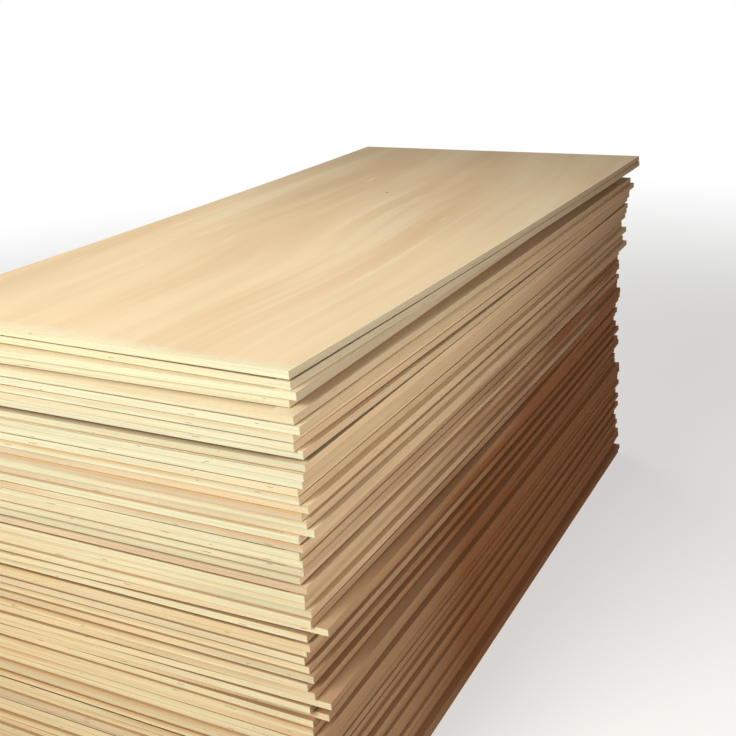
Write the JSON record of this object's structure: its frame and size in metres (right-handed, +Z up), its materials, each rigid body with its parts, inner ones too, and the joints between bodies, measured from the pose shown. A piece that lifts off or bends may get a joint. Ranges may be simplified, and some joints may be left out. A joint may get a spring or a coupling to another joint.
{
  "type": "stack of plywood sheets",
  "caption": "Waist-high free-standing stack of full-size plywood sheets laid flat by hand, with uneven edges, slight warp and the top sheets turned askew.",
  "frame": {"origin": "on the floor, under the middle of the bottom sheet", "axes": "+Z is up; X runs across the sheets, with the clear long edge at +X; Y runs along them, with the clear short end at -Y"},
  "size_m": [1.3162, 2.5238, 1.2872],
  "materials": {
    "plywood": "raw softwood-faced plywood, sanded faces, sawn edges with the plies showing"
  },
  "bodies": {
    "root": {"sheets_lift_01": "plywood", "sheets_lift_02": "plywood", "sheets_lift_03": "plywood", "sheets_lift_04": "plywood", "sheets_lift_05": "plywood", "sheets_lift_06": "plywood", "sheets_lift_07": "plywood", "sheets_lift_08": "plywood", "sheets_lift_09": "plywood", "sheets_lift_10": "plywood", "sheets_lift_11": "plywood", "sheets_lift_12": "plywood", "sheets_lift_13": "plywood", "sheets_lift_14": "plywood", "sheets_lift_15": "plywood", "sheets_lift_16": "plywood"}
  },
  "joints": []
}
